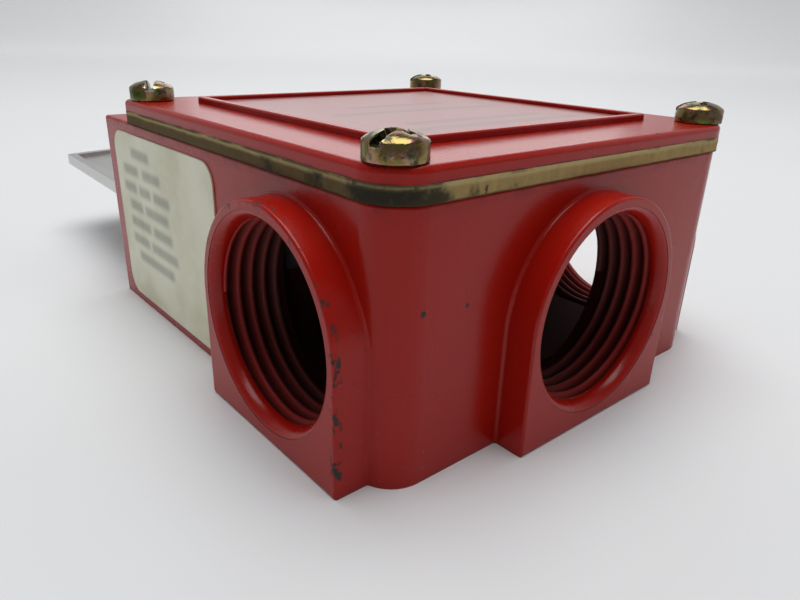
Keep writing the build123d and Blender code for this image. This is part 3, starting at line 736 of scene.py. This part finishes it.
class ALARM_OT_cover_screws(bpy.types.Operator):
    """Models the four combination-drive cover screws with their worn slots"""

    bl_idname = "alarm.cover_screws"
    bl_label = "Cover Screws"

    # Each head's turn in degrees, and the seed of its wear.
    TURNS = ((14, 0), (63, 1), (128, 2), (-22, 5))
    # The head's outline from its middle to its seat, in shares of its radius and height.
    CROWN = (
        (0, 1),
        (0.35, 0.985),
        (0.7, 0.88),
        (0.9, 0.755),
        (0.975, 0.69),
        (1, 0.63),
        (1, 0.05),
        (0.95, 0),
    )

    def execute(self, context):
        sizes = context.scene.alarm_screws
        low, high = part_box("cover_screws")
        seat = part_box("gasket")[1].z + sizes.lid
        heads = bmesh.new()
        places = [
            (x, y)
            for x in (low.x + sizes.head, high.x - sizes.head)
            for y in (low.y + sizes.head, high.y - sizes.head)
        ]
        for place, (turn, seed) in zip(places, self.TURNS):
            head = self.head(sizes, high.z - seat, low.z - seat, seed)
            turned_round = Matrix.Rotation(math.radians(turn), 4, "Z")
            head.transform(Matrix.Translation((*place, seat)) @ turned_round)
            heads.from_mesh(head)
        piece_from(
            heads, "cover_screw_heads", "chromate_steel", "cover", ["cover_screws"], smooth=28
        )
        return {"FINISHED"}

    def head(self, sizes, height, bottom, seed):
        """One screw standing on the lid at z 0, with its slot along x."""
        radius, shank = sizes.head, sizes.shank
        point = 0.6 * MM
        bm = bmesh.new()
        profile = outline(
            bm,
            [(radius * out, height * up) for out, up in self.CROWN]
            + [(shank, 0), (shank, bottom + point), (shank * 0.7, bottom), (0, bottom)],
            closed=False,
        )
        turned(bm, profile, 48)
        bmesh.ops.recalc_face_normals(bm, faces=bm.faces)
        blank = self.solid(bm, "blank")
        slot = (radius * 2.2, sizes.slot_width)
        cross = (radius * 1.25, sizes.slot_width * 0.8)
        cutters = [
            self.block(sizes, *slot, height, seed),
            self.block(sizes, *cross, height, seed + 7, turn=90),
            self.recess(sizes, height, seed),
        ]
        for cutter in cutters:
            cut = blank.modifiers.new("cut", "BOOLEAN")
            cut.operation = "DIFFERENCE"
            cut.solver = "EXACT"
            cut.object = cutter
        bpy.context.view_layer.update()
        cut_blank = blank.evaluated_get(bpy.context.evaluated_depsgraph_get())
        made = bpy.data.meshes.new_from_object(cut_blank)
        for spent in (blank, *cutters):
            bpy.data.objects.remove(spent)
        return made

    def solid(self, bm, name):
        mesh = bpy.data.meshes.new(name)
        bm.to_mesh(mesh)
        bm.free()
        made = bpy.data.objects.new(name, mesh)
        bpy.context.scene.collection.objects.link(made)
        return made

    def block(self, sizes, long, wide, height, seed, turn=0):
        """A cutter for one slot, with ragged sides that flare above the crown."""
        above = 0.6 * MM
        bm = bmesh.new()
        bmesh.ops.create_grid(bm, x_segments=14, y_segments=2, size=0.5)
        bmesh.ops.scale(bm, vec=(long, wide, 1), verts=bm.verts)
        top = bmesh.ops.extrude_face_region(bm, geom=bm.faces[:])["geom"]
        bmesh.ops.translate(bm, vec=(0, 0, sizes.slot_depth + above), verts=points_of(top))
        bmesh.ops.translate(bm, vec=(0, 0, height - sizes.slot_depth), verts=bm.verts)
        for vert in bm.verts:
            shove = noise.noise(vert.co * 1400 + Vector((seed * 5.3, 0, 0)))
            flare, ragged = (1.25, 2) if vert.co.z > height else (1.0, 1)
            vert.co.y = vert.co.y * flare + shove * sizes.wear * ragged
        bmesh.ops.rotate(bm, matrix=Matrix.Rotation(math.radians(turn), 3, "Z"), verts=bm.verts)
        bmesh.ops.recalc_face_normals(bm, faces=bm.faces)
        return self.solid(bm, "slot cutter")

    def recess(self, sizes, height, seed):
        """A cutter for the worn hollow where the slots cross."""
        bm = bmesh.new()
        bmesh.ops.create_cone(
            bm,
            cap_ends=True,
            segments=16,
            radius1=sizes.recess * 0.35,
            radius2=sizes.recess * 1.25,
            depth=sizes.slot_depth * 1.7,
        )
        bmesh.ops.translate(bm, vec=(0, 0, height - sizes.slot_depth * 0.45), verts=bm.verts)
        for vert in bm.verts:
            shove = noise.noise(vert.co * 900 + Vector((0, seed * 3.1, 0)))
            vert.co.xy = vert.co.xy * (1 + 0.22 * shove)
        bmesh.ops.recalc_face_normals(bm, faces=bm.faces)
        return self.solid(bm, "recess cutter")


class ALARM_OT_lever_spring(bpy.types.Operator):
    """Winds the spring round the lever's pin, with one leg that follows the lever"""

    bl_idname = "alarm.lever_spring"
    bl_label = "Lever Spring"

    def execute(self, context):
        sizes = context.scene.alarm_spring
        low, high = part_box("lever_spring")
        pin_low, pin_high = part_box("pivot_pin")
        axis = (pin_low + pin_high) / 2
        reach = high.x - low.x - 2 * sizes.wire
        bm = bmesh.new()
        ring = bmesh.ops.create_circle(bm, segments=12, radius=sizes.wire)["verts"]
        bmesh.ops.rotate(bm, matrix=Matrix.Rotation(math.pi / 2, 3, "X"), verts=ring)
        bmesh.ops.translate(bm, vec=(sizes.coil, 0, -reach / 2), verts=ring)
        wound(bm, [*ring, *bm.edges], sizes.coils, int(32 * sizes.coils), reach)
        bmesh.ops.rotate(bm, matrix=Matrix.Rotation(math.pi / 2, 3, "Y"), verts=bm.verts)
        bmesh.ops.translate(bm, vec=axis, verts=bm.verts)
        heel = Vector((reach / 2, 0, sizes.coil))
        floor_toe = Vector((-heel.x, low.y + sizes.wire, low.z + sizes.wire))
        self.leg(bm, sizes.wire, axis - heel, floor_toe)
        piece_from(bm, "lever_spring_coil", "spring_steel", "box", ["lever_spring"], smooth=60)
        moving = bmesh.new()
        toe_inset = 1.4 * MM
        toe = Vector((heel.x, low.y + toe_inset + sizes.wire, high.z - sizes.wire))
        self.leg(moving, sizes.wire, axis + heel, toe)
        piece_from(moving, "lever_spring_leg", "spring_steel", "lever", smooth=60)
        return {"FINISHED"}

    def leg(self, bm, wire, start, end):
        """A straight piece of wire from start to end."""
        along = end - start
        turn = along.to_track_quat("Z", "Y").to_matrix().to_4x4()
        bmesh.ops.create_cone(
            bm,
            cap_ends=True,
            segments=12,
            radius1=wire,
            radius2=wire,
            depth=along.length,
            matrix=Matrix.Translation((start + end) / 2) @ turn,
        )


class ALARM_OT_gasket(bpy.types.Operator):
    """Roughens the cut edge of the fibre gasket"""

    bl_idname = "alarm.gasket"
    bl_label = "Gasket"

    def execute(self, context):
        sizes = context.scene.alarm_gasket
        low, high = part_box("gasket")
        bm = bmesh.new()
        bm.from_mesh(NODES["gasket"].data)
        bmesh.ops.remove_doubles(bm, verts=bm.verts, dist=0.01 * MM)
        for axis in range(3):
            normal = Vector((0, 0, 0))
            normal[axis] = 1
            paces = 3 if axis == 2 else int((high[axis] - low[axis]) / sizes.pace)
            for pace in range(1, paces):
                place = Vector((0, 0, 0))
                place[axis] = low[axis] + (high[axis] - low[axis]) * pace / paces
                bmesh.ops.bisect_plane(
                    bm,
                    geom=[*bm.verts, *bm.edges, *bm.faces],
                    dist=0.001 * MM,
                    plane_co=place,
                    plane_no=normal,
                )
        bm.normal_update()
        middle = (low + high) / 2
        for vert in bm.verts:
            out = Vector((vert.normal.x, vert.normal.y, 0))
            away = vert.co - middle
            if out.length > 0.3 and out.dot(Vector((away.x, away.y, 0))) > 0:
                wander = noise.noise(vert.co * 420) + 0.6 * noise.noise(vert.co * 1700)
                vert.co += out.normalized() * sizes.fray * (wander - 0.35)
        piece_from(bm, "gasket_sheet", "gasket", "box", ["gasket"], smooth=50)
        return {"FINISHED"}


class DressOperator:
    """Gives each CAD node of a group the finish of its slot."""

    groups = {}

    def execute(self, context):
        for slot, nodes in self.groups.items():
            dress(slot, *nodes)
        return {"FINISHED"}


class ALARM_OT_castings(DressOperator, bpy.types.Operator):
    """Enamels the housing and its cover"""

    bl_idname = "alarm.castings"
    bl_label = "Castings"
    groups = {"red_enamel": ["housing", "cover"]}


class ALARM_OT_plates(DressOperator, bpy.types.Operator):
    """Finishes the cover's nameplate and the rating label"""

    bl_idname = "alarm.plates"
    bl_label = "Plates"
    groups = {"nameplate": ["cover_nameplate"], "label": ["rating_label"]}


class ALARM_OT_lever_parts(DressOperator, bpy.types.Operator):
    """Finishes the pull lever, its arms and its pivot"""

    bl_idname = "alarm.lever_parts"
    bl_label = "Lever Parts"
    groups = {
        "bare_steel": ["pull_lever", "pivot_pin"],
        "zinc_steel": [
            "lever_arms",
            "lever_arm_screws",
            "pin_clips",
            "pin_spacers",
            "pivot_blocks",
            "pivot_block_screws",
        ],
        "bronze": ["pin_bushings"],
    }


class ALARM_OT_switch_parts(DressOperator, bpy.types.Operator):
    """Finishes the switch, the terminals, the earth screw and their leads"""

    bl_idname = "alarm.switch_parts"
    bl_label = "Switch and Terminals"
    groups = {
        "black_plastic": ["switch_case", "switch_cover", "terminal_block"],
        "plunger_plastic": ["switch_plunger"],
        "brass": ["switch_terminals", "terminal_clamps", "terminal_screws"],
        "zinc_steel": ["switch_screws", "terminal_block_screws"],
        "green_steel": ["earth_screw"],
        "wire_insulation": ["lead_wires"],
    }


class ALARM_OT_stage(bpy.types.Operator):
    """Sets up the pale floor, the soft light and the camera"""

    bl_idname = "alarm.stage"
    bl_label = "Stage"

    # Name, place, the point it faces, and the side of its square.
    LAMPS = (
        ("overhead", (0.06, 0.08, 0.95), (0.12, 0.15, 0), 0.8),
        ("behind", (1.35, 1.55, 1.05), (0, 0, 0.02), 1.6),
    )

    def execute(self, context):
        settings = context.scene.alarm_stage
        self.floor(settings)
        self.light(context, settings)
        self.camera(context, settings)
        context.scene.view_settings.view_transform = "Standard"
        return {"FINISHED"}

    def floor(self, settings):
        """A round floor whose rim curves up into a wall."""
        cove = settings.radius * 0.9
        wall = cove * 1.6
        cove_steps = 12
        bm = bmesh.new()
        start = bm.verts.new((0, 0, 0))
        profile = [start, bm.verts.new((settings.radius, 0, 0))]
        for step in range(1, cove_steps + 1):
            angle = math.pi / 2 * step / cove_steps
            out, up = cove * math.sin(angle), cove * (1 - math.cos(angle))
            profile.append(bm.verts.new((settings.radius + out, 0, up)))
        profile.append(bm.verts.new((settings.radius + cove, 0, wall)))
        edges = [bm.edges.new(pair) for pair in zip(profile, profile[1:])]
        turned(bm, [*profile, *edges], 64)
        bmesh.ops.recalc_face_normals(bm, faces=bm.faces)
        bmesh.ops.translate(bm, vec=(0, 0, CAD_LOW.z), verts=bm.verts)
        mesh = bpy.data.meshes.new("floor")
        bm.to_mesh(mesh)
        bm.free()
        mesh.shade_smooth()
        floor = bpy.data.objects.new("floor", mesh)
        bpy.context.scene.collection.objects.link(floor)
        f = Finish("floor paper", {"Specular IOR Level": 0.3, "Emission Strength": settings.glow})
        tone = f.noise(9, 2)
        paper = f.mix(tone, darker(settings.floor, 0.97), settings.floor)
        # Painted light: the floor glows, more the farther it lies from the middle and the farther
        # back it is.
        away = f.rise(f.reach(f.x, f.y), 0.15, settings.radius * 0.8)
        behind = f.rise(f.x + f.y, -0.4, 1.6)
        lit = f.mix(away * behind, (0, 0, 0), (1, 1, 1))
        f.feed(Base_Color=paper, Roughness=0.6 + 0.1 * tone, Emission_Color=lit)
        mesh.materials.append(f.material)

    def light(self, context, settings):
        for name, place, aim, size in self.LAMPS:
            lamp = bpy.data.lights.new(name, "AREA")
            lamp.shape = "SQUARE"
            lamp.size = size
            lamp.energy = settings.power
            holder = bpy.data.objects.new(name, lamp)
            context.scene.collection.objects.link(holder)
            holder.location = place
            holder.rotation_mode = "QUATERNION"
            holder.rotation_quaternion = (Vector(aim) - Vector(place)).to_track_quat("-Z", "Y")
        world = bpy.data.worlds.new("studio")
        context.scene.world = world
        world.use_nodes = True
        sky = world.node_tree.nodes["Background"]
        sky.inputs["Color"].default_value = (0.95, 0.97, 1, 1)
        sky.inputs["Strength"].default_value = settings.sky

    def camera(self, context, settings):
        lens = bpy.data.cameras.new("camera")
        lens.lens = settings.lens
        lens.sensor_width = 36
        lens.clip_start = 0.005
        holder = bpy.data.objects.new("camera", lens)
        context.scene.collection.objects.link(holder)
        right = Vector((0.7633, -0.6454, 0.0287))
        up = Vector((0.2271, 0.3095, 0.9234))
        place = Vector((-0.06786, -0.08157, 0.04653))
        facing = Matrix((right, up, right.cross(up))).transposed()
        holder.rotation_mode = "QUATERNION"
        holder.rotation_quaternion = facing.to_quaternion()
        holder.location = place
        context.scene.camera = holder


class ALARM_PT_panel(bpy.types.Panel):
    """Lists the steps that finish the alarm box"""

    bl_idname = "ALARM_PT_panel"
    bl_label = "Alarm Box"
    bl_space_type = "VIEW_3D"
    bl_region_type = "UI"
    bl_category = "Alarm Box"

    def draw(self, context):
        for operator in OPERATORS:
            self.layout.operator(operator.bl_idname)
        for name, group in SETTINGS.items():
            settings = getattr(context.scene, name)
            for field in group.__annotations__:
                self.layout.prop(settings, field)


OPERATORS = (
    ALARM_OT_castings,
    ALARM_OT_hub_threads,
    ALARM_OT_gasket,
    ALARM_OT_cover_screws,
    ALARM_OT_plates,
    ALARM_OT_lever_parts,
    ALARM_OT_lever_spring,
    ALARM_OT_switch_parts,
    ALARM_OT_stage,
)
CLASSES = (*SETTINGS.values(), *OPERATORS, ALARM_PT_panel)


def register():
    for kind in CLASSES:
        bpy.utils.register_class(kind)
    for name, group in SETTINGS.items():
        setattr(bpy.types.Scene, name, PointerProperty(type=group))


def unregister():
    for name in SETTINGS:
        delattr(bpy.types.Scene, name)
    for kind in reversed(CLASSES):
        bpy.utils.unregister_class(kind)


def main():
    register()
    for operator in OPERATORS:
        getattr(bpy.ops.alarm, operator.bl_idname.split(".")[1])()


if __name__ == "__main__":
    main()
